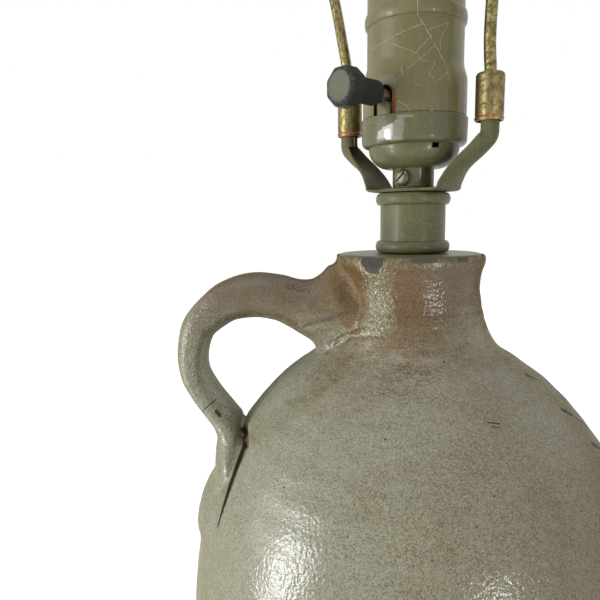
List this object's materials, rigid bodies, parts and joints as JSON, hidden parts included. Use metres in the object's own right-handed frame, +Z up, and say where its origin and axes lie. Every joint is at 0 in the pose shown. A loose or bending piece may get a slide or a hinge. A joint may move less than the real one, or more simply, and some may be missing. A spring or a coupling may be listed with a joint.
{
  "type": "table lamp",
  "caption": "Stoneware jug table lamp with a strap handle, a painted metal neck, a sprung wire harp and a turn-knob bulb socket; no bulb, shade or cord.",
  "frame": {"origin": "centre of the jug's flat base, on the surface the lamp stands on", "axes": "+Z up along the jug's and the socket's axis; -X towards the jug's handle; -Y is the side facing the picture's camera, about 11 degrees round from it"},
  "size_m": [0.1735, 0.1694, 0.5046],
  "materials": {
    "stoneware": "grey-tan salt glaze with a fine orange-peel texture",
    "olive_paint": "satin olive paint, scratched",
    "aged_brass": "dull brass plate with brown patina",
    "zinc_steel": "zinc-plated steel",
    "bright_brass": "bright brass",
    "aluminium": "bright pressed aluminium",
    "rubber": "matt black rubber",
    "fibre": "orange-brown insulating fibre",
    "phenolic": "black phenolic moulding",
    "black_plastic": "black moulding with a soft sheen"
  },
  "bodies": {
    "lamp": {"jug_body": "stoneware", "cord_bushing": "black_plastic", "threaded_nipple": "zinc_steel", "plug_top_washer": "zinc_steel", "rubber_plug": "rubber", "plug_bottom_washer": "zinc_steel", "plug_nut": "zinc_steel", "vase_cap": "olive_paint", "lamp_neck": "olive_paint", "harp_saddle": "olive_paint", "socket_cap": "olive_paint", "set_screw": "olive_paint", "socket_shell": "olive_paint", "shell_insulator": "fibre", "socket_body": "phenolic", "screw_shell": "aluminium", "shell_rivet_1": "bright_brass", "shell_rivet_2": "bright_brass", "centre_contact": "bright_brass", "switch_contact": "bright_brass", "hot_terminal_screw": "bright_brass", "neutral_terminal_screw": "zinc_steel"},
    "knob": {"turn_knob": "black_plastic", "switch_spindle": "zinc_steel", "switch_rotor": "phenolic"},
    "harp": {"harp_wire": "aged_brass", "finial_stud": "aged_brass"},
    "left_ferrule": {"left_ferrule": "aged_brass"},
    "right_ferrule": {"right_ferrule": "aged_brass"}
  },
  "joints": [
    {"name": "knob_turn", "type": "hinge", "parent": "lamp", "child": "knob", "pos_m": [0, 0, 0.3203], "axis": [-0.7431, -0.6691, 0], "continuous": true},
    {"name": "harp_lift", "type": "slide", "parent": "lamp", "child": "harp", "axis": [0, 0, 1], "range_m": [0, 0.03]},
    {"name": "left_ferrule_slide", "type": "slide", "parent": "harp", "child": "left_ferrule", "axis": [-0.0527, 0.0412, 0.9978], "range_m": [0, 0.0085]},
    {"name": "right_ferrule_slide", "type": "slide", "parent": "harp", "child": "right_ferrule", "axis": [-0.0228, 0.0178, 0.9996], "range_m": [0, 0.0085]}
  ]
}
